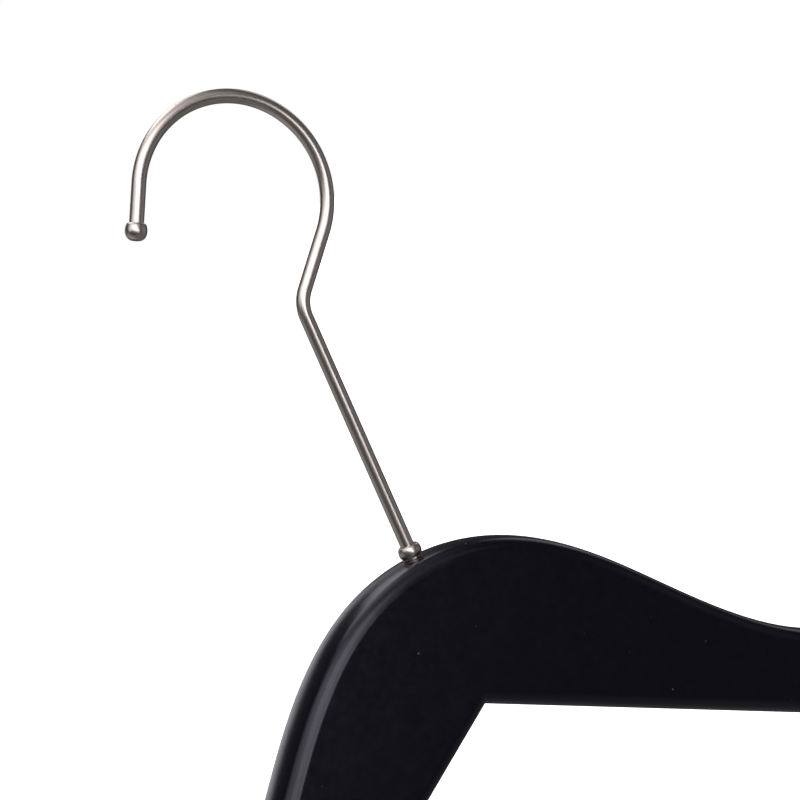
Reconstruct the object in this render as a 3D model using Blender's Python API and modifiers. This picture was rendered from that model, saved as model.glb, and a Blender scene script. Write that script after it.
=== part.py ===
"""A wooden clothes hanger with a swivelling wire hook.

Metres, +Z up. The origin is the point of the hook that bears on a rail, straight above the
shank, and the shank is the Z axis. The arms run along X, and the front face looks along -Y.
"""

import math

import bmesh
import bpy
from mathutils import Matrix, Vector

MM = 0.001
# A static joint keeps this gap between its two faces.
GAP = 0.3 * MM
# Points closer than this are one point.
WELD = 0.001 * MM

# The hook's wire, followed along its centreline from the top of the wood.
WIRE_RADIUS = 1.75 * MM
SHANK_LENGTH = 64.0 * MM
KINK_RADIUS = 9.0 * MM
KINK_ANGLE = math.radians(44.0)
RETURN_LENGTH = 15.0 * MM
LOOP_RADIUS = 23.75 * MM
LOOP_ANGLE = math.radians(195.0)
NOSE_LENGTH = 11.6 * MM
STRAIGHT_STEP = 12.0 * MM
BEND_STEP = math.radians(11.0)

# The cap on the hook's end, and the bead that stands on the wood.
TIP_RADIUS = 2.65 * MM
TIP_HEIGHT = 4.0 * MM
TIP_SOCKET_DEPTH = 2.4 * MM
# The share of the tip's height above its widest ring, and the share of its radius that ends flat.
TIP_SHOULDER_SHARE = 0.42
TIP_FLAT_SHARE = 0.45
COLLAR_RADIUS = 2.95 * MM
COLLAR_HEIGHT = 3.2 * MM
# Below 1 the bead is fuller than a half circle.
COLLAR_FULLNESS = 0.6

# The bush that the shank turns in, and the head that keeps the shank in it.
RUNNING_CLEARANCE = 0.1 * MM
BUSH_RADIUS = 2.5 * MM
BUSH_LENGTH = 14.0 * MM
BARB_COUNT = 4
BARB_DEPTH = 0.2 * MM
# The shares of a barb's pitch where its groove's wall ends and where it is full again.
BARB_WALL_SHARE = 0.1
BARB_RAMP_SHARE = 0.75
FOOT_RADIUS = 2.5 * MM
FOOT_HEIGHT = 1.6 * MM
# The riveted head's side: shares of its radius and of its height.
FOOT_SIDE = ((0.0, 0.0), (1.0, 0.0), (1.0, 0.45), (0.86, 0.8), (0.5, 1.0), (0.0, 1.0))

# The wooden body.
BODY_THICKNESS = 15.5 * MM
EDGE_RADIUS = 4.0 * MM
VERTEX_DEPTH = 39.9 * MM
UNDERSIDE_SLOPE = math.radians(29.5)
UNDERSIDE_RUN = 88.0 * MM
OUTLINE_STEPS = 10
# The right half's knots: x, height from the crown, heading in degrees, and the handles before and
# after. The lengths are in millimetres.
CROWN = (0.0, 0.0, 0.0, 24.0, 24.0)
NECK = (53.8, -30.1, -47.8, 20.5, 19.0)
SHOULDER = (100.1, -70.5, -25.0, 21.0, 18.0)
DROP = (194.0, -110.0, -26.5, 45.0, 13.0)
END = (220.0, -130.0, -97.0, 8.5, 4.5)
HEEL = (209.0, -138.5, 161.0, 5.5, 44.0)
HALF_WIDTH = END[0] * MM
# The handle before the bend in the underside, as a share of the straight run.
BEND_HANDLE = 0.4

# The two dowels across the glued joint.
DOWEL_RADIUS = 2.0 * MM
DOWEL_LENGTH = 26.0 * MM
DOWEL_CHAMFER = 0.6 * MM
UPPER_DOWEL_DEPTH = 23.0 * MM
LOWER_DOWEL_DEPTH = 31.0 * MM

ROUND_STEPS = 24


def clear_scene():
    for old in list(bpy.data.objects):
        bpy.data.objects.remove(old, do_unlink=True)


def make_collection(name):
    group = bpy.data.collections.new(name)
    bpy.context.scene.collection.children.link(group)
    return group


def make_material(name, colour, roughness, metallic=0.0):
    material = bpy.data.materials.new(name)
    material.use_nodes = True
    surface = material.node_tree.nodes["Principled BSDF"]
    surface.inputs["Base Color"].default_value = (*colour, 1.0)
    surface.inputs["Roughness"].default_value = roughness
    surface.inputs["Metallic"].default_value = metallic
    return material


def make_object(name, data, group, place=(0.0, 0.0, 0.0), material=None):
    made = bpy.data.objects.new(name, data)
    made.location = place
    group.objects.link(made)
    if material is not None:
        data.materials.append(material)
    return made


def make_cutter(name, data, group, place=(0.0, 0.0, 0.0)):
    cutter = make_object(name, data, group, place)
    cutter.hide_render = True
    cutter.display_type = "WIRE"
    return cutter


def cut(target, cutter, operation="DIFFERENCE"):
    modifier = target.modifiers.new(operation.lower(), "BOOLEAN")
    modifier.operation = operation
    modifier.object = cutter
    modifier.solver = "EXACT"


def mesh_of_curve(curve, group):
    """The closed mesh of a capped or filled curve, in the place of its object."""
    holder = bpy.data.objects.new("curve", curve)
    group.objects.link(holder)
    evaluated = holder.evaluated_get(bpy.context.evaluated_depsgraph_get())
    mesh = bpy.data.meshes.new_from_object(evaluated)
    bpy.data.objects.remove(holder, do_unlink=True)
    shape = bmesh.new()
    shape.from_mesh(mesh)
    bmesh.ops.remove_doubles(shape, verts=shape.verts, dist=WELD)
    bmesh.ops.recalc_face_normals(shape, faces=shape.faces)
    shape.to_mesh(mesh)
    shape.free()
    return mesh


def turned_object(name, profile, group, place, material):
    """A solid of revolution about Z, from (radius, height) points run down its outer side."""
    mesh = bpy.data.meshes.new(name)
    verts = [(radius, 0.0, height) for radius, height in profile]
    edges = [(i, i + 1) for i in range(len(verts) - 1)]
    if profile[0] == profile[-1]:
        verts.pop()
        edges[-1] = (len(verts) - 1, 0)
    mesh.from_pydata(verts, edges, [])
    made = make_object(name, mesh, group, place, material)
    screw = made.modifiers.new("turn", "SCREW")
    screw.steps = ROUND_STEPS
    screw.render_steps = ROUND_STEPS
    screw.use_merge_vertices = True
    screw.merge_threshold = WELD
    screw.use_smooth_shade = True
    return made


def cylinder_mesh(name, radius, length, axis="Z", chamfer=0.0):
    shape = bmesh.new()
    bmesh.ops.create_cone(
        shape, cap_ends=True, segments=ROUND_STEPS, radius1=radius, radius2=radius, depth=length
    )
    if chamfer:
        rims = [edge for edge in shape.edges if abs(edge.verts[0].co.z - edge.verts[1].co.z) < chamfer]
        bmesh.ops.bevel(shape, geom=rims, offset=chamfer, segments=1, affect="EDGES")
    if axis == "X":
        bmesh.ops.rotate(shape, verts=shape.verts, matrix=Matrix.Rotation(math.pi / 2, 3, "Y"))
    mesh = bpy.data.meshes.new(name)
    shape.to_mesh(mesh)
    shape.free()
    mesh.shade_smooth()
    mesh.set_sharp_from_angle(angle=math.radians(40.0))
    return mesh


def box_mesh(name, low, high):
    shape = bmesh.new()
    bmesh.ops.create_cube(shape, size=1.0)
    size = Vector(high) - Vector(low)
    bmesh.ops.scale(shape, verts=shape.verts, vec=size)
    bmesh.ops.translate(shape, verts=shape.verts, vec=(Vector(high) + Vector(low)) / 2)
    mesh = bpy.data.meshes.new(name)
    shape.to_mesh(mesh)
    shape.free()
    return mesh


def loop_centre():
    """The centre of the hook's loop, from the foot of the shank at the top of the wood."""
    along = Vector((math.sin(KINK_ANGLE), math.cos(KINK_ANGLE)))
    inward = Vector((-math.cos(KINK_ANGLE), math.sin(KINK_ANGLE)))
    kink_centre = Vector((KINK_RADIUS, SHANK_LENGTH))
    kink_end = kink_centre + inward * KINK_RADIUS
    return kink_end + along * RETURN_LENGTH + inward * LOOP_RADIUS


def wood_top():
    """The height of the wood's top: the rail bears on the loop straight above the shank."""
    centre = loop_centre()
    inner_radius = LOOP_RADIUS - WIRE_RADIUS
    return -(centre.y + math.sqrt(inner_radius**2 - centre.x**2))


def arc(centre, radius, start, turn):
    """Points after the first along an arc, at most BEND_STEP apart."""
    count = math.ceil(abs(turn) / BEND_STEP)
    angles = [start + turn * i / count for i in range(1, count + 1)]
    return [centre + radius * Vector((math.cos(a), math.sin(a))) for a in angles]


def straight(start, end):
    """Points after the first along a straight run, at most STRAIGHT_STEP apart."""
    count = math.ceil((end - start).length / STRAIGHT_STEP)
    return [start.lerp(end, i / count) for i in range(1, count + 1)]


def hook_route():
    """The wire's centreline in (x, z), from its lower end in the bush to its end in the tip."""
    foot = Vector((0.0, -BUSH_LENGTH - GAP))
    kink_start = Vector((0.0, SHANK_LENGTH))
    kink_centre = Vector((KINK_RADIUS, SHANK_LENGTH))
    centre = loop_centre()
    loop_end_angle = LOOP_ANGLE - KINK_ANGLE
    nose = Vector((-math.sin(loop_end_angle), math.cos(loop_end_angle)))
    route = [foot] + straight(foot, kink_start)
    route += arc(kink_centre, KINK_RADIUS, math.pi, -KINK_ANGLE)
    return_end = centre + LOOP_RADIUS * Vector((math.cos(KINK_ANGLE), -math.sin(KINK_ANGLE)))
    route += straight(route[-1], return_end)
    route += arc(centre, LOOP_RADIUS, -KINK_ANGLE, LOOP_ANGLE)
    route += straight(route[-1], route[-1] + nose * NOSE_LENGTH)
    return route, nose


def make_hook_wire(group, top, material):
    route, _ = hook_route()
    curve = bpy.data.curves.new("hook_wire", "CURVE")
    curve.dimensions = "3D"
    curve.bevel_depth = WIRE_RADIUS
    curve.bevel_resolution = 4
    curve.use_fill_caps = True
    curve.render_resolution_u = 0
    spline = curve.splines.new("POLY")
    spline.points.add(len(route) - 1)
    for point, place in zip(spline.points, route):
        point.co = (place.x, 0.0, place.y, 1.0)
    mesh = mesh_of_curve(curve, group)
    mesh.shade_smooth()
    mesh.set_sharp_from_angle(angle=math.radians(50.0))
    make_object("hook_wire", mesh, group, top, material)


def make_hook_tip(group, top, material):
    """A flattened ball with a socket for the wire, and a nearly flat end."""
    route, nose = hook_route()
    shoulder = WIRE_RADIUS + GAP
    rise = TIP_SHOULDER_SHARE * TIP_HEIGHT
    socket_floor = -TIP_SOCKET_DEPTH
    upper = [
        (TIP_RADIUS - (TIP_RADIUS - shoulder) * (1 - math.sin(a)), -rise * (1 - math.cos(a)))
        for a in (math.radians(d) for d in (20, 45, 70, 90))
    ]
    lower = [
        (
            TIP_RADIUS * (TIP_FLAT_SHARE + (1 - TIP_FLAT_SHARE) * math.cos(a)),
            -rise - (TIP_HEIGHT - rise) * math.sin(a),
        )
        for a in (math.radians(d) for d in (18, 36, 54, 72, 90))
    ]
    profile = [(0.0, socket_floor), (shoulder, socket_floor), (shoulder, 0.0)]
    profile += upper + lower + [(0.0, -TIP_HEIGHT)]
    mouth = route[-1] - nose * (TIP_SOCKET_DEPTH - GAP)
    place = top + Vector((mouth.x, 0.0, mouth.y))
    tip = turned_object("hook_tip", profile, group, place, material)
    tip.rotation_euler = (0.0, math.atan2(-nose.x, -nose.y), 0.0)


def make_hook_collar(group, top, material):
    """A round bead around the shank, standing on the wood."""
    bore = WIRE_RADIUS + GAP
    half = COLLAR_HEIGHT / 2
    bulge = COLLAR_RADIUS - bore
    profile = [(bore, half)]
    for degrees in range(80, -81, -20):
        angle = math.radians(degrees)
        profile.append((bore + bulge * math.cos(angle) ** COLLAR_FULLNESS, half * math.sin(angle)))
    profile += [(bore, -half), (bore, half)]
    turned_object("hook_collar", profile, group, top + Vector((0, 0, GAP + half)), material)


def make_hook_foot(group, top, material):
    """The riveted head on the shank's lower end, below the bush."""
    profile = [(FOOT_RADIUS * across, -FOOT_HEIGHT * down) for across, down in FOOT_SIDE]
    depth = BUSH_LENGTH + 2 * GAP
    turned_object("hook_foot", profile, group, top - Vector((0, 0, depth)), material)


def make_bush(group, top, material):
    """A barbed sleeve, flush with the top of the wood."""
    bore = WIRE_RADIUS + RUNNING_CLEARANCE
    pitch = BUSH_LENGTH / (BARB_COUNT + 1)
    profile = [(bore, 0.0), (BUSH_RADIUS, 0.0), (BUSH_RADIUS, -pitch)]
    for barb in range(1, BARB_COUNT + 1):
        start = -pitch * barb
        profile.append((BUSH_RADIUS - BARB_DEPTH, start - BARB_WALL_SHARE * pitch))
        profile.append((BUSH_RADIUS, start - BARB_RAMP_SHARE * pitch))
        profile.append((BUSH_RADIUS, start - pitch))
    profile[-1] = (BUSH_RADIUS - BARB_DEPTH, -BUSH_LENGTH)
    profile += [(bore, -BUSH_LENGTH), (bore, 0.0)]
    turned_object("swivel_bush", profile, group, top - Vector((0, 0, GAP)), material)


def knot(x, z, degrees, before, after):
    """One knot of the outline: its place, and handles along a heading, in metres."""
    place = Vector((x, z)) * MM
    heading = Vector((math.cos(math.radians(degrees)), math.sin(math.radians(degrees))))
    return place - heading * before * MM, place, place + heading * after * MM


def half_outline():
    """The right half's knots, from the crown over the shoulder, round the end, to the vertex."""
    vertex = Vector((0.0, -VERTEX_DEPTH))
    down = Vector((math.cos(UNDERSIDE_SLOPE), -math.sin(UNDERSIDE_SLOPE)))
    run = down * UNDERSIDE_RUN / math.cos(UNDERSIDE_SLOPE)
    knots = [knot(*values) for values in (CROWN, NECK, SHOULDER, DROP, END, HEEL)]
    bend = (vertex + run * (1 + BEND_HANDLE), vertex + run, vertex + run * 2 / 3)
    corner = (vertex + run / 3, vertex, None)
    return knots + [bend, corner]


def mirrored(point):
    return Vector((-point.x, point.y))


def full_outline():
    """The closed outline's knots: the right half, then its mirror image run back."""
    right = half_outline()
    left = [(mirrored(after), mirrored(place), mirrored(before)) for before, place, after in right[1:-1]]
    before, vertex, _ = right[-1]
    right[-1] = (before, vertex, mirrored(before))
    return right + left[::-1]


def body_mesh(group):
    """The body before it is split: its outline, thickened, with rounded edges."""
    curve = bpy.data.curves.new("body", "CURVE")
    curve.dimensions = "2D"
    curve.fill_mode = "BOTH"
    curve.extrude = BODY_THICKNESS / 2 - EDGE_RADIUS
    curve.bevel_depth = EDGE_RADIUS
    curve.bevel_resolution = 2
    curve.offset = -EDGE_RADIUS
    curve.render_resolution_u = 0
    knots = full_outline()
    spline = curve.splines.new("BEZIER")
    spline.use_cyclic_u = True
    spline.resolution_u = OUTLINE_STEPS
    spline.bezier_points.add(len(knots) - 1)
    for point, (before, place, after) in zip(spline.bezier_points, knots):
        point.handle_left_type = "FREE"
        point.handle_right_type = "FREE"
        point.co = (*place, 0.0)
        point.handle_left = (*before, 0.0)
        point.handle_right = (*after, 0.0)
    mesh = mesh_of_curve(curve, group)
    mesh.transform(Matrix.Rotation(math.pi / 2, 4, "X"))
    mesh.shade_smooth()
    mesh.set_sharp_from_angle(angle=math.radians(35.0))
    return mesh


def make_arms(parts, cutters, top, material):
    """The two halves of the body, with the bush's bore and the dowels' holes in their joint."""
    bore_depth = BUSH_LENGTH + FOOT_HEIGHT + 4 * GAP
    bore_data = cylinder_mesh("bore", BUSH_RADIUS + GAP, 2 * bore_depth)
    bore = make_cutter("bore_cutter", bore_data, cutters, top)
    holes = [bore]
    for name, depth in (("upper", UPPER_DOWEL_DEPTH), ("lower", LOWER_DOWEL_DEPTH)):
        data = cylinder_mesh(name, DOWEL_RADIUS + GAP, DOWEL_LENGTH + 2 * GAP, "X")
        holes.append(make_cutter(name + "_dowel_cutter", data, cutters, top - Vector((0, 0, depth))))
    for name, side in (("arm_left", -1), ("arm_right", 1)):
        reach = HALF_WIDTH + BODY_THICKNESS
        near, far = sorted((side * GAP / 2, side * reach))
        half_box = box_mesh(name + "_side", (near, -reach, -reach), (far, reach, reach))
        half = make_cutter(name + "_side", half_box, cutters, top)
        arm = make_object(name, body_mesh(cutters), parts, top, material)
        cut(arm, half, "INTERSECT")
        for hole in holes:
            cut(arm, hole)


def make_dowels(group, top, material):
    for name, depth in (("upper", UPPER_DOWEL_DEPTH), ("lower", LOWER_DOWEL_DEPTH)):
        node = "joint_dowel_" + name
        data = cylinder_mesh(node, DOWEL_RADIUS, DOWEL_LENGTH, "X", DOWEL_CHAMFER)
        make_object(node, data, group, top - Vector((0, 0, depth)), material)


def build():
    clear_scene()
    parts = make_collection("clothes_hanger")
    cutters = make_collection("cutters")
    top = Vector((0.0, 0.0, wood_top()))
    lacquer = make_material("black_lacquer", (0.012, 0.011, 0.014), 0.38)
    nickel = make_material("satin_nickel", (0.52, 0.49, 0.45), 0.28, 1.0)
    brass = make_material("brass", (0.72, 0.52, 0.24), 0.35, 1.0)
    beech = make_material("beech", (0.62, 0.44, 0.27), 0.6)
    make_arms(parts, cutters, top, lacquer)
    make_dowels(parts, top, beech)
    make_bush(parts, top, brass)
    make_hook_wire(parts, top, nickel)
    make_hook_tip(parts, top, nickel)
    make_hook_collar(parts, top, nickel)
    make_hook_foot(parts, top, nickel)


build()
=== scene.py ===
"""The looks of a black wooden clothes hanger with a swivelling satin-nickel hook.

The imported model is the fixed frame. The two halves of the body, the hook's wire, its tip and its
collar are built here with a finer surface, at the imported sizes, and stand for those nodes. The
dowels, the bush and the hook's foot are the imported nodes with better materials.
"""

import math

import bmesh
import bpy
from mathutils import Matrix, Vector, noise


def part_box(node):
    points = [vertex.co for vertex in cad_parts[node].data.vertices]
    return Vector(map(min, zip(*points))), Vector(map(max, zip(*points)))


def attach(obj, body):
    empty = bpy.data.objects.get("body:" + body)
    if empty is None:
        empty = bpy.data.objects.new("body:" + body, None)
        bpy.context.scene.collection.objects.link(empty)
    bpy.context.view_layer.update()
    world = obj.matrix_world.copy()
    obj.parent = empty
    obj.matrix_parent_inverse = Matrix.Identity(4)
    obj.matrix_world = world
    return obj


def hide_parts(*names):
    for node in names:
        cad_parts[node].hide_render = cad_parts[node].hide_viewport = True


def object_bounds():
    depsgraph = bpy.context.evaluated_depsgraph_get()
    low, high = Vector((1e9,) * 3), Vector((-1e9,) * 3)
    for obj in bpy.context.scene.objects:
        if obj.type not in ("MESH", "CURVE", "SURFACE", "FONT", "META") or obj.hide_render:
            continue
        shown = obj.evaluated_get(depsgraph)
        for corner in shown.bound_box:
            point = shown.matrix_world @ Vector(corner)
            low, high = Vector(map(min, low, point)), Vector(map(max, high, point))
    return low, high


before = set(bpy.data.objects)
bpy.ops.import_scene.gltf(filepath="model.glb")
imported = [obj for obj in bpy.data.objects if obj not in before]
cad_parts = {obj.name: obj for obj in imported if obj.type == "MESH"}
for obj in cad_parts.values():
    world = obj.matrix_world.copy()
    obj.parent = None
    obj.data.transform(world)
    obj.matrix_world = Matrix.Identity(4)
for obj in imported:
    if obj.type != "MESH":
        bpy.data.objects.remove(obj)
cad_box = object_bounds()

MM = 0.001

# The hook's wire, followed along its centreline from the top of the wood.
WIRE_RADIUS = 1.75 * MM
SHANK_LENGTH = 64.0 * MM
KINK_RADIUS = 9.0 * MM
KINK_ANGLE = math.radians(44.0)
RETURN_LENGTH = 15.0 * MM
LOOP_RADIUS = 23.75 * MM
LOOP_ANGLE = math.radians(195.0)
NOSE_LENGTH = 11.6 * MM
WIRE_SIDES = 64
WIRE_STEP = 1.0 * MM
BEND_STEP = math.radians(2.0)
WIRE_SHARP = 50.0

# The cap on the wire's end and the bead on the wood. Both clear the wire by a hair, and their
# surface is a little uneven, over patches of the lump size.
WIRE_CLEARANCE = 0.02 * MM
TIP_RADIUS = 2.65 * MM
TIP_HEIGHT = 4.0 * MM
TIP_OVERLAP = 2.1 * MM
COLLAR_RADIUS = 2.95 * MM
COLLAR_HEIGHT = 3.1 * MM
COLLAR_RISE = 0.25 * MM
SKIRT_RADIUS = 2.56 * MM
SKIRT_GAP = 0.05 * MM
TIP_LIP = 0.25 * MM
TIP_SHOULDER_SHARE = 0.45
TIP_FLAT_SHARE = 0.35
TIP_UNEVENNESS = 0.05 * MM
COLLAR_FULLNESS = 0.62
COLLAR_UNEVENNESS = 0.02 * MM
LUMP_SIZE = 3.0 * MM
TURNED_SIDES = 96
TURNED_SHARP = 50.0

# The bore for the bush and the foot, and the dowel holes, inside the body.
BUSH_LENGTH = 14.0 * MM
FOOT_GAP = 0.3 * MM
BORE_RADIUS = 2.6 * MM
BORE_DEPTH = 16.8 * MM
DOWEL_HOLE_RADIUS = 2.05 * MM
DOWEL_HOLE_REACH = 13.3 * MM
HOLE_SIDES = 48

# The body's outline and its rounded edges.
EDGE_INSET = 4.0 * MM
SIDE_CROWN = math.radians(12.0)
VERTEX_DEPTH = 39.9 * MM
UNDERSIDE_SLOPE = math.radians(29.5)
UNDERSIDE_RUN = 88.0 * MM
SEAM_CHAMFER = 0.04 * MM
OUTLINE_STEPS = 44
BODY_SHARP = 35.0
CROWN_STEPS = 8
CORNER_STEPS = 10

# The camera: where it looks, from how far and from which side.
TARGET = Vector((13.83, 0.0, -83.18)) * MM
CAMERA_DISTANCE = 503.3 * MM
CAMERA_AZIMUTH = math.radians(-24.26)
CAMERA_ELEVATION = math.radians(7.34)
CAMERA_ROLL = math.radians(-23.67)
CAMERA_LENS = 92.7
CAMERA_SENSOR = 36.0

WOOD_LOW, WOOD_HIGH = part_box("arm_right")
WOOD_TOP = WOOD_HIGH.z
HALF_WIDTH = WOOD_HIGH.x
THICKNESS = WOOD_HIGH.y - WOOD_LOW.y

# The outline's knots: x and z below the wood's top, the heading in degrees, and the lengths of the
# handles before and after. Lengths are in millimetres.
CROWN = (0.0, 0.0, 0.0, 24.0, 24.0)
NECK = (53.8, -30.1, -47.8, 20.5, 19.0)
SHOULDER = (100.1, -70.5, -25.0, 21.0, 18.0)
DROP = (194.0, -110.0, -26.5, 45.0, 13.0)
END = (HALF_WIDTH / MM, -130.0, -97.0, 8.5, 4.5)
HEEL = (209.0, -138.5, 161.0, 5.5, 44.0)
BEND_HANDLE = 0.4


def new_object(name, data, material=None):
    made = bpy.data.objects.new(name, data)
    bpy.context.scene.collection.objects.link(made)
    if material is not None:
        data.materials.append(material)
    return made


def object_from_bmesh(name, shape, material=None):
    data = bpy.data.meshes.new(name)
    shape.to_mesh(data)
    shape.free()
    return new_object(name, data, material)


def applied(made):
    """The object with its modifiers applied to its mesh."""
    evaluated = made.evaluated_get(bpy.context.evaluated_depsgraph_get())
    data = bpy.data.meshes.new_from_object(evaluated)
    made.modifiers.clear()
    made.data = data
    return made


def smooth(made, sharp_degrees):
    """Smooth shading that keeps the broad flats flat and the true edges sharp."""
    made.data.shade_smooth()
    made.data.set_sharp_from_angle(angle=math.radians(sharp_degrees))
    weighted = made.modifiers.new("weighted", "WEIGHTED_NORMAL")
    weighted.mode = "FACE_AREA"
    weighted.keep_sharp = True
    return applied(made)


# The wire.


def loop_centre():
    along = Vector((math.sin(KINK_ANGLE), math.cos(KINK_ANGLE)))
    inward = Vector((-math.cos(KINK_ANGLE), math.sin(KINK_ANGLE)))
    kink_end = Vector((KINK_RADIUS, SHANK_LENGTH)) + inward * KINK_RADIUS
    return kink_end + along * RETURN_LENGTH + inward * LOOP_RADIUS


def straight(start, end):
    count = math.ceil((end - start).length / WIRE_STEP)
    heading = (end - start).normalized()
    return [(start.lerp(end, i / count), heading) for i in range(1, count + 1)]


def arc(centre, radius, start, turn):
    count = math.ceil(abs(turn) / BEND_STEP)
    side = math.copysign(1.0, turn)
    stations = []
    for i in range(1, count + 1):
        angle = start + turn * i / count
        outward = Vector((math.cos(angle), math.sin(angle)))
        stations.append((centre + radius * outward, Vector((-outward.y, outward.x)) * side))
    return stations


def wire_stations():
    """(place, heading) in (x, z) along the wire, from its foot to its end, above the wood's top."""
    foot = Vector((0.0, -BUSH_LENGTH - FOOT_GAP))
    centre = loop_centre()
    kink_centre = Vector((KINK_RADIUS, SHANK_LENGTH))
    stations = [(foot, Vector((0.0, 1.0)))]
    stations += straight(foot, Vector((0.0, SHANK_LENGTH)))
    stations += arc(kink_centre, KINK_RADIUS, math.pi, -KINK_ANGLE)
    return_end = centre + LOOP_RADIUS * Vector((math.cos(KINK_ANGLE), -math.sin(KINK_ANGLE)))
    stations += straight(stations[-1][0], return_end)
    stations += arc(centre, LOOP_RADIUS, -KINK_ANGLE, LOOP_ANGLE)
    end, nose = stations[-1]
    stations += straight(end, end + nose * NOSE_LENGTH)
    return stations


def store_vectors(data, name, values):
    layer = data.attributes.new(name, "FLOAT_VECTOR", "POINT")
    layer.data.foreach_set("vector", [number for value in values for number in value])


def build_wire(material):
    """A round tube along the stations, with its straightened coordinates for the drawn finish."""
    shape = bmesh.new()
    rings = []
    straightened = []
    run = 0.0
    last = None
    for place, heading in wire_stations():
        run += 0.0 if last is None else (place - last).length
        last = place
        across = Vector((-heading.y, heading.x))
        ring = []
        for side in range(WIRE_SIDES):
            angle = 2 * math.pi * side / WIRE_SIDES
            out, deep = WIRE_RADIUS * math.cos(angle), WIRE_RADIUS * math.sin(angle)
            flat = place + across * out
            ring.append(shape.verts.new((flat.x, deep, flat.y + WOOD_TOP)))
            straightened.append((out, deep, run))
        rings.append(ring)
    for lower, upper in zip(rings, rings[1:]):
        for side in range(WIRE_SIDES):
            after = (side + 1) % WIRE_SIDES
            shape.faces.new((lower[side], lower[after], upper[after], upper[side]))
    shape.faces.new(rings[0][::-1])
    shape.faces.new(rings[-1])
    bmesh.ops.recalc_face_normals(shape, faces=shape.faces)
    wire = object_from_bmesh("wire", shape, material)
    store_vectors(wire.data, "straightened", straightened)
    wire.data.shade_smooth()
    wire.data.set_sharp_from_angle(angle=math.radians(WIRE_SHARP))
    return wire


def turned(name, profile, place, axis, material, unevenness=0.0):
    """A closed solid of revolution from (radius, height) points, about an axis at a place."""
    shape = bmesh.new()
    rings = []
    for radius, height in profile:
        if radius == 0.0:
            rings.append([shape.verts.new((0.0, 0.0, height))])
            continue
        ring = []
        for side in range(TURNED_SIDES):
            angle = 2 * math.pi * side / TURNED_SIDES
            flat = (radius * math.cos(angle), radius * math.sin(angle))
            ring.append(shape.verts.new((*flat, height)))
        rings.append(ring)
    if profile[0][0] > 0.0:
        rings.append(rings[0])
    for upper, lower in zip(rings, rings[1:]):
        for side in range(TURNED_SIDES):
            after = (side + 1) % TURNED_SIDES
            corners = [upper[side % len(upper)], upper[after % len(upper)]]
            corners += [lower[after % len(lower)], lower[side % len(lower)]]
            shape.faces.new(list(dict.fromkeys(corners)))
    bmesh.ops.recalc_face_normals(shape, faces=shape.faces)
    for vert in shape.verts:
        swell = noise.noise(vert.co / LUMP_SIZE) * unevenness
        vert.co -= vert.co.normalized() * abs(swell)
    turn = Vector((0.0, 0.0, 1.0)).rotation_difference(axis).to_matrix().to_4x4()
    shape.transform(Matrix.Translation(place) @ turn)
    made = object_from_bmesh(name, shape, material)
    return smooth(made, TURNED_SHARP)


def build_tip(material):
    """A flattened ball, closed on to the wire, with a nearly flat end."""
    end, nose = wire_stations()[-1]
    mouth_radius = WIRE_RADIUS + WIRE_CLEARANCE
    rise = TIP_SHOULDER_SHARE * TIP_HEIGHT
    profile = [(0.0, -TIP_OVERLAP), (mouth_radius, -TIP_OVERLAP), (mouth_radius, -TIP_LIP)]
    profile.append((mouth_radius + 0.3 * TIP_LIP, -0.3 * TIP_LIP))
    for degrees in range(75, -1, -5):
        angle = math.radians(degrees)
        bulge = (TIP_RADIUS - mouth_radius - TIP_LIP) * math.cos(angle)
        radius = mouth_radius + TIP_LIP + bulge
        profile.append((radius, -rise * (1.0 - math.sin(angle))))
    for degrees in range(6, 91, 6):
        angle = math.radians(degrees)
        radius = TIP_RADIUS * (TIP_FLAT_SHARE + (1.0 - TIP_FLAT_SHARE) * math.cos(angle))
        profile.append((radius, -rise - (TIP_HEIGHT - rise) * math.sin(angle)))
    profile.append((0.0, -TIP_HEIGHT))
    mouth = end - nose * TIP_OVERLAP
    place = Vector((mouth.x, 0.0, mouth.y + WOOD_TOP))
    axis = Vector((-nose.x, 0.0, -nose.y))
    return turned("wire_tip", profile, place, axis, material, TIP_UNEVENNESS)


def build_collar(material):
    """A round bead around the shank, on a low skirt that stands just clear of the wood."""
    bore = WIRE_RADIUS + WIRE_CLEARANCE
    half = COLLAR_HEIGHT / 2
    bulge = COLLAR_RADIUS - bore
    profile = []
    for degrees in range(88, -57, -8):
        angle = math.radians(degrees)
        radius = bore + bulge * math.cos(angle) ** COLLAR_FULLNESS
        profile.append((radius, half * math.sin(angle)))
    skirt_end = SKIRT_GAP - COLLAR_RISE - half
    profile += [(SKIRT_RADIUS, -half), (SKIRT_RADIUS, skirt_end), (bore, skirt_end)]
    place = Vector((0.0, 0.0, WOOD_TOP + COLLAR_RISE + half))
    axis = Vector((0.0, 0.0, 1.0))
    return turned("wire_collar", profile, place, axis, material, COLLAR_UNEVENNESS)


# The body.


def knot(x, z, degrees, before, after):
    place = Vector((x, z)) * MM
    heading = Vector((math.cos(math.radians(degrees)), math.sin(math.radians(degrees))))
    return place - heading * before * MM, place, place + heading * after * MM


def half_outline():
    """The right half's knots, from the crown over the shoulder, round the end, to the vertex."""
    vertex = Vector((0.0, -VERTEX_DEPTH))
    run = Vector((1.0, -math.tan(UNDERSIDE_SLOPE))) * UNDERSIDE_RUN
    knots = [knot(*values) for values in (CROWN, NECK, SHOULDER, DROP, END, HEEL)]
    bend = (vertex + run * (1.0 + BEND_HANDLE), vertex + run, vertex + run * 2 / 3)
    corner = (vertex + run / 3, vertex, None)
    return knots + [bend, corner]


def bezier(a, b, c, d, t):
    """The place and the heading at t on a cubic segment."""
    s = 1.0 - t
    place = a * s**3 + b * (3 * s * s * t) + c * (3 * s * t * t) + d * t**3
    slope = (b - a) * (s * s) + (c - b) * (2 * s * t) + (d - c) * (t * t)
    return place, slope.normalized()


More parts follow.
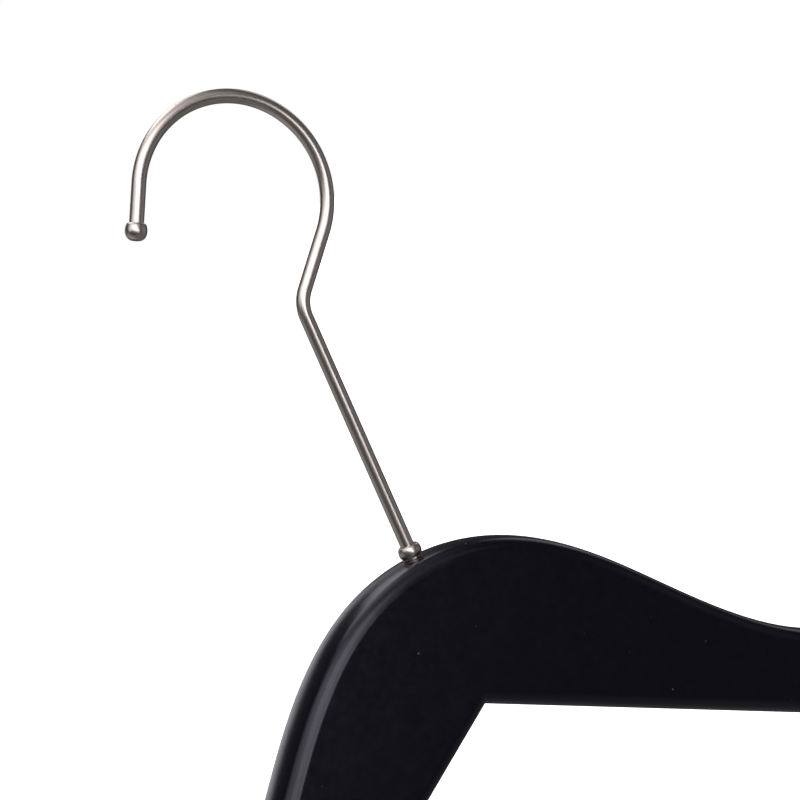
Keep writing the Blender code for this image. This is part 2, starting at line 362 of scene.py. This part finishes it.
def outline_stations():
    """(place, inward) in (x, z): an inset of one metre moves a place by its inward vector."""
    knots = half_outline()
    stations = []
    for (_, start, leave), (arrive, end, _) in zip(knots, knots[1:]):
        for step in range(OUTLINE_STEPS):
            place, heading = bezier(start, leave, arrive, end, step / OUTLINE_STEPS)
            stations.append((place, Vector((heading.y, -heading.x))))
    stations[0] = (knots[0][1], Vector((0.0, -1.0)))
    stations.append((knots[-1][1], Vector((0.0, 1.0 / math.cos(UNDERSIDE_SLOPE)))))
    return stations


def edge_profile():
    """(inset, y) points from the front flat, over the crowned side, to the back flat."""
    half = THICKNESS / 2
    reach = (half - EDGE_INSET) / (math.sin(SIDE_CROWN) + math.cos(SIDE_CROWN) - 1.0)
    corner_radius = EDGE_INSET - reach * (1.0 - math.cos(SIDE_CROWN))
    crown_radius = reach + corner_radius
    points = []
    for step in range(CROWN_STEPS):
        tilt = SIDE_CROWN * step / CROWN_STEPS
        points.append((crown_radius * (1.0 - math.cos(tilt)), crown_radius * math.sin(tilt)))
    for step in range(CORNER_STEPS + 1):
        tilt = SIDE_CROWN + (math.pi / 2 - SIDE_CROWN) * step / CORNER_STEPS
        inset = EDGE_INSET - corner_radius * math.cos(tilt)
        points.append((inset, half - corner_radius + corner_radius * math.sin(tilt)))
    return [(inset, -y) for inset, y in points[:0:-1]] + points


def half_skin(name, side, material):
    """One half of the body, closed at the glued joint with a hairline chamfer."""
    shape = bmesh.new()
    profile = edge_profile()
    rows = []
    for place, inward in outline_stations():
        row = []
        for inset, y in profile:
            flat = place + inward * inset
            row.append(shape.verts.new((side * max(flat.x, 0.0), y, flat.y + WOOD_TOP)))
        rows.append(row)
    for near, far in zip(rows, rows[1:]):
        for a, b, c, d in zip(near, near[1:], far[1:], far):
            shape.faces.new((a, b, c, d))
    shape.faces.new([row[0] for row in rows])
    shape.faces.new([row[-1] for row in rows][::-1])
    joint = shape.faces.new(rows[0] + rows[-1][::-1])
    bmesh.ops.recalc_face_normals(shape, faces=shape.faces)
    rim = list(joint.edges)
    bmesh.ops.bevel(
        shape, geom=rim, offset=SEAM_CHAMFER, segments=1, affect="EDGES", clamp_overlap=True
    )
    return object_from_bmesh(name, shape, material)


def drill(made, holes):
    for hole in holes:
        boolean = made.modifiers.new("hole", "BOOLEAN")
        boolean.operation = "DIFFERENCE"
        boolean.solver = "EXACT"
        boolean.object = hole
    return applied(made)


def hole_cutter(radius, length, place, axis):
    shape = bmesh.new()
    bmesh.ops.create_cone(
        shape, cap_ends=True, segments=HOLE_SIDES, radius1=radius, radius2=radius, depth=length
    )
    turn = Vector((0.0, 0.0, 1.0)).rotation_difference(axis).to_matrix().to_4x4()
    shape.transform(Matrix.Translation(place) @ turn)
    return object_from_bmesh("cutter", shape)


def build_body(material):
    """Both halves of the body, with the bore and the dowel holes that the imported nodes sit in."""
    top = Vector((0.0, 0.0, WOOD_TOP))
    cutters = [hole_cutter(BORE_RADIUS, 2 * BORE_DEPTH, top, Vector((0.0, 0.0, 1.0)))]
    for node in ("joint_dowel_upper", "joint_dowel_lower"):
        low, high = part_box(node)
        place = (low + high) / 2
        along = Vector((1.0, 0.0, 0.0))
        cutters.append(hole_cutter(DOWEL_HOLE_RADIUS, 2 * DOWEL_HOLE_REACH, place, along))
    halves = []
    for name, side in (("body_left", -1), ("body_right", 1)):
        half = drill(half_skin(name, side, material), cutters)
        halves.append(smooth(half, BODY_SHARP))
    for cutter in cutters:
        bpy.data.objects.remove(cutter, do_unlink=True)
    return halves


# Materials.


class Nodes:
    """A short way to add and join shader nodes."""

    def __init__(self, name):
        self.material = bpy.data.materials.new(name)
        self.material.use_nodes = True
        self.tree = self.material.node_tree
        self.surface = self.tree.nodes["Principled BSDF"]

    def add(self, kind, inputs=None, **settings):
        node = self.tree.nodes.new(kind)
        for key, value in settings.items():
            setattr(node, key, value)
        for key, value in (inputs or {}).items():
            self.set(node.inputs[key], value)
        return node

    def set(self, socket, value):
        if isinstance(value, bpy.types.NodeSocket):
            self.tree.links.new(value, socket)
        else:
            socket.default_value = value

    def coordinates(self, attribute=None, scale=(1.0, 1.0, 1.0)):
        if attribute:
            source = self.add("ShaderNodeAttribute", attribute_name=attribute).outputs["Vector"]
        else:
            source = self.add("ShaderNodeTexCoord").outputs["Object"]
        mapping = self.add("ShaderNodeMapping", {"Vector": source, "Scale": scale})
        return mapping.outputs["Vector"]

    def noise(self, vector, scale, detail=2.0, roughness=0.5):
        inputs = {"Vector": vector, "Scale": scale, "Detail": detail, "Roughness": roughness}
        return self.add("ShaderNodeTexNoise", inputs).outputs["Fac"]

    def ramp(self, value, low, high, to_low=0.0, to_high=1.0):
        inputs = {"Value": value, "From Min": low, "From Max": high}
        inputs.update({"To Min": to_low, "To Max": to_high})
        node = self.add("ShaderNodeMapRange", inputs, interpolation_type="SMOOTHSTEP")
        return node.outputs["Result"]

    def math(self, operation, a, b=0.0):
        node = self.add("ShaderNodeMath", operation=operation)
        self.set(node.inputs[0], a)
        self.set(node.inputs[1], b)
        return node.outputs[0]

    def mix(self, factor, a, b):
        node = self.add("ShaderNodeMix", data_type="RGBA")
        self.set(node.inputs["Factor"], factor)
        self.set(node.inputs["A"], a)
        self.set(node.inputs["B"], b)
        return node.outputs["Result"]

    def bump(self, height, distance, normal=None):
        inputs = {"Height": height, "Distance": distance, "Strength": 1.0}
        if normal is not None:
            inputs["Normal"] = normal
        return self.add("ShaderNodeBump", inputs).outputs["Normal"]


def lacquer():
    """Black lacquer on wood: a faint orange peel, waviness and grain, and fine dust."""
    nodes = Nodes("black_lacquer")
    place = nodes.coordinates()
    cloud = nodes.noise(place, 35.0, 3.0)
    grain_place = nodes.coordinates(scale=(30.0, 400.0, 400.0))
    grain = nodes.noise(grain_place, 1.0, 4.0, 0.6)
    base = nodes.mix(cloud, (0.0026, 0.0020, 0.0050, 1.0), (0.0046, 0.0037, 0.0078, 1.0))
    cells = nodes.add("ShaderNodeTexVoronoi", {"Vector": place, "Scale": 420.0})
    speck = nodes.ramp(cells.outputs["Distance"], 0.05, 0.11, 1.0, 0.0)
    chosen = nodes.add("ShaderNodeSeparateColor", {"Color": cells.outputs["Color"]})
    rare = nodes.ramp(chosen.outputs["Red"], 0.93, 0.95)
    patch = nodes.ramp(nodes.noise(place, 60.0, 2.0), 0.45, 0.62, 0.15, 1.0)
    dust = nodes.math("MULTIPLY", nodes.math("MULTIPLY", speck, rare), patch)
    colour = nodes.mix(dust, base, (0.16, 0.16, 0.18, 1.0))
    nodes.set(nodes.surface.inputs["Base Color"], colour)
    peel = nodes.noise(place, 700.0, 2.0)
    wave = nodes.noise(place, 90.0, 2.0)
    rough = nodes.ramp(peel, 0.25, 0.75, 0.2, 0.25)
    rough = nodes.math("ADD", rough, nodes.math("MULTIPLY", dust, 0.4))
    nodes.set(nodes.surface.inputs["Roughness"], rough)
    normal = nodes.bump(wave, 0.00012)
    normal = nodes.bump(grain, 0.000006, normal)
    normal = nodes.bump(peel, 0.000006, normal)
    nodes.set(nodes.surface.inputs["Normal"], normal)
    nodes.surface.inputs["IOR"].default_value = 1.5
    nodes.surface.inputs["Specular Tint"].default_value = (0.95, 0.93, 1.0, 1.0)
    return nodes.material


def nickel(name, attribute=None):
    """Satin nickel: fine drawn lines along a wire, soft mottling and a few dull spots."""
    nodes = Nodes(name)
    place = nodes.coordinates(attribute)
    drawn_place = nodes.coordinates(attribute, (2600.0, 2600.0, 90.0))
    drawn = nodes.noise(drawn_place, 1.0, 3.0, 0.6)
    mottle = nodes.noise(place, 260.0, 3.0)
    spots = nodes.ramp(nodes.noise(place, 900.0, 2.0), 0.66, 0.8)
    base = nodes.mix(mottle, (0.68, 0.61, 0.53, 1.0), (0.77, 0.70, 0.62, 1.0))
    base = nodes.mix(nodes.math("MULTIPLY", spots, 0.35), base, (0.36, 0.32, 0.29, 1.0))
    nodes.set(nodes.surface.inputs["Base Color"], base)
    rough = nodes.ramp(drawn, 0.2, 0.8, 0.25, 0.34)
    rough = nodes.math("ADD", rough, nodes.math("MULTIPLY", spots, 0.1))
    nodes.set(nodes.surface.inputs["Roughness"], rough)
    normal = nodes.bump(drawn, 0.000006)
    normal = nodes.bump(mottle, 0.00001, normal)
    nodes.set(nodes.surface.inputs["Normal"], normal)
    nodes.surface.inputs["Metallic"].default_value = 1.0
    return nodes.material


def brass():
    """Turned brass with fine lathe rings and a slight tarnish."""
    nodes = Nodes("bush_brass")
    place = nodes.coordinates()
    rings = nodes.noise(nodes.coordinates(scale=(150.0, 150.0, 6000.0)), 1.0, 2.0)
    tarnish = nodes.ramp(nodes.noise(place, 300.0, 4.0), 0.4, 0.7)
    base = nodes.mix(tarnish, (0.78, 0.56, 0.24, 1.0), (0.46, 0.31, 0.13, 1.0))
    nodes.set(nodes.surface.inputs["Base Color"], base)
    nodes.set(nodes.surface.inputs["Roughness"], nodes.ramp(rings, 0.2, 0.8, 0.24, 0.42))
    nodes.set(nodes.surface.inputs["Normal"], nodes.bump(rings, 0.00001))
    nodes.surface.inputs["Metallic"].default_value = 1.0
    return nodes.material


def beech():
    """Pale beech with its grain along the dowel and short dark flecks."""
    nodes = Nodes("dowel_beech")
    fibres = nodes.noise(nodes.coordinates(scale=(60.0, 1500.0, 1500.0)), 1.0, 4.0, 0.6)
    fleck_place = nodes.coordinates(scale=(400.0, 3500.0, 3500.0))
    flecks = nodes.ramp(nodes.noise(fleck_place, 1.0), 0.62, 0.72)
    base = nodes.mix(fibres, (0.60, 0.41, 0.24, 1.0), (0.74, 0.55, 0.36, 1.0))
    base = nodes.mix(flecks, base, (0.33, 0.19, 0.10, 1.0))
    nodes.set(nodes.surface.inputs["Base Color"], base)
    nodes.set(nodes.surface.inputs["Roughness"], nodes.ramp(fibres, 0.2, 0.8, 0.55, 0.72))
    nodes.set(nodes.surface.inputs["Normal"], nodes.bump(fibres, 0.00003))
    return nodes.material


# The studio.


def direction(azimuth, elevation):
    """A unit vector: azimuth 0 is in front of the hanger, 90 to its right. In degrees."""
    a, e = math.radians(azimuth), math.radians(elevation)
    return Vector((math.sin(a) * math.cos(e), -math.cos(a) * math.cos(e), math.sin(e)))


# The soft lights of the studio, as far off as the sky: azimuth, elevation, the half angles where
# each is full and where it ends, and its radiance beside the white of the floor.
LIGHTS = (
    ("key", -17.0, 30.0, 2.0, 30.0, 2.5),
    ("key_low", -2.0, 8.0, 3.0, 21.0, 1.2),
    ("key_foot", 5.0, -3.0, 3.0, 13.0, 2.2),
    ("key_shoulder", -42.0, 50.0, 4.0, 30.0, 0.6),
    ("side_left", -72.0, 45.0, 5.0, 32.0, 0.85),
    ("front_right", 22.0, 35.0, 3.0, 26.0, 0.35),
    ("overhead", 0.0, 80.0, 10.0, 45.0, 0.4),
    ("zenith", 60.0, 88.0, 3.0, 18.0, 0.7),
    ("rear_right", 160.0, 47.0, 2.0, 18.0, 1.9),
    ("rear_high", 178.0, 63.0, 2.0, 19.0, 1.5),
    ("rear_left", -154.0, 73.0, 2.0, 20.0, 0.8),
    ("rear_low", -177.0, 4.0, 4.0, 22.0, 1.1),
    ("rear_side", 166.0, 18.0, 2.0, 13.0, 0.45),
    ("side_right", 113.0, 24.0, 2.0, 19.0, 0.9),
    ("bounce_left", -120.0, -25.0, 10.0, 50.0, 0.25),
    ("bounce_right", 66.0, -14.0, 10.0, 34.0, 0.16),
    ("bounce_low", 0.0, -90.0, 20.0, 70.0, 0.12),
)
ROOM_RADIANCE = 0.055
ROOM_COLOUR = (0.93, 0.925, 1.0, 1.0)
FLOOR_DEPTH = 1.3
FLOOR_RADIUS = 60.0


def make_world():
    """White behind the object, and a dim room with soft lights in its reflections."""
    world = bpy.data.worlds.new("studio")
    world.use_nodes = True
    tree = world.node_tree
    place = tree.nodes.new("ShaderNodeTexCoord").outputs["Generated"]
    total = None
    for name, azimuth, elevation, full, end, radiance in LIGHTS:
        dot = tree.nodes.new("ShaderNodeVectorMath")
        dot.operation = "DOT_PRODUCT"
        dot.inputs[1].default_value = direction(azimuth, elevation)
        tree.links.new(place, dot.inputs[0])
        soft = tree.nodes.new("ShaderNodeMapRange")
        soft.label = name
        soft.interpolation_type = "SMOOTHSTEP"
        soft.inputs["From Min"].default_value = math.cos(math.radians(end))
        soft.inputs["From Max"].default_value = math.cos(math.radians(full))
        soft.inputs["To Max"].default_value = radiance
        tree.links.new(dot.outputs["Value"], soft.inputs["Value"])
        add = tree.nodes.new("ShaderNodeMath")
        tree.links.new(soft.outputs["Result"], add.inputs[0])
        if total is None:
            add.inputs[1].default_value = ROOM_RADIANCE
        else:
            tree.links.new(total, add.inputs[1])
        total = add.outputs["Value"]
    room = tree.nodes["Background"]
    room.inputs["Color"].default_value = ROOM_COLOUR
    tree.links.new(total, room.inputs["Strength"])
    white = tree.nodes.new("ShaderNodeBackground")
    white.inputs["Color"].default_value = (1.0, 1.0, 1.0, 1.0)
    path = tree.nodes.new("ShaderNodeLightPath")
    mix = tree.nodes.new("ShaderNodeMixShader")
    tree.links.new(path.outputs["Is Camera Ray"], mix.inputs["Fac"])
    tree.links.new(room.outputs["Background"], mix.inputs[1])
    tree.links.new(white.outputs["Background"], mix.inputs[2])
    tree.links.new(mix.outputs["Shader"], tree.nodes["World Output"].inputs["Surface"])
    bpy.context.scene.world = world


def make_floor():
    """A plain white floor well below the hanging object."""
    shape = bmesh.new()
    bmesh.ops.create_circle(shape, cap_ends=True, radius=FLOOR_RADIUS, segments=64)
    nodes = Nodes("floor_white")
    nodes.surface.inputs["Base Color"].default_value = (0.9, 0.9, 0.9, 1.0)
    nodes.surface.inputs["Roughness"].default_value = 0.8
    nodes.surface.inputs["Emission Color"].default_value = (1.0, 1.0, 1.0, 1.0)
    nodes.surface.inputs["Emission Strength"].default_value = 1.0
    floor = object_from_bmesh("floor", shape, nodes.material)
    floor.location.z = cad_box[0].z - FLOOR_DEPTH
    floor.visible_glossy = False
    floor.visible_diffuse = False


def make_camera():
    data = bpy.data.cameras.new("camera")
    data.lens = CAMERA_LENS
    data.sensor_width = CAMERA_SENSOR
    data.clip_start = 0.01
    data.clip_end = 100.0
    camera = bpy.data.objects.new("camera", data)
    bpy.context.scene.collection.objects.link(camera)
    a, e = CAMERA_AZIMUTH, CAMERA_ELEVATION
    back = Vector((math.sin(a) * math.cos(e), -math.cos(a) * math.cos(e), math.sin(e)))
    right = Vector((0.0, 0.0, 1.0)).cross(back).normalized()
    up = back.cross(right)
    level = Matrix((right, up, back)).transposed()
    camera.rotation_euler = (level @ Matrix.Rotation(CAMERA_ROLL, 3, "Z")).to_euler()
    camera.location = TARGET + back * CAMERA_DISTANCE
    bpy.context.scene.camera = camera


def give_material(node, material):
    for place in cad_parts[node].material_slots:
        place.material = material


def main():
    make_camera()
    make_world()
    make_floor()
    bpy.context.scene.view_settings.view_transform = "Standard"

    drawn = nickel("nickel_wire", "straightened")
    turned_nickel = nickel("nickel_turned")
    wire = build_wire(drawn)
    tip = build_tip(turned_nickel)
    collar = build_collar(turned_nickel)
    for piece, node in ((wire, "hook_wire"), (tip, "hook_tip"), (collar, "hook_collar")):
        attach(piece, "hook")
        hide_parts(node)
    for piece, node in zip(build_body(lacquer()), ("arm_left", "arm_right")):
        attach(piece, "body")
        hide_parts(node)
    give_material("hook_foot", turned_nickel)
    give_material("swivel_bush", brass())
    wood = beech()
    give_material("joint_dowel_upper", wood)
    give_material("joint_dowel_lower", wood)


main()
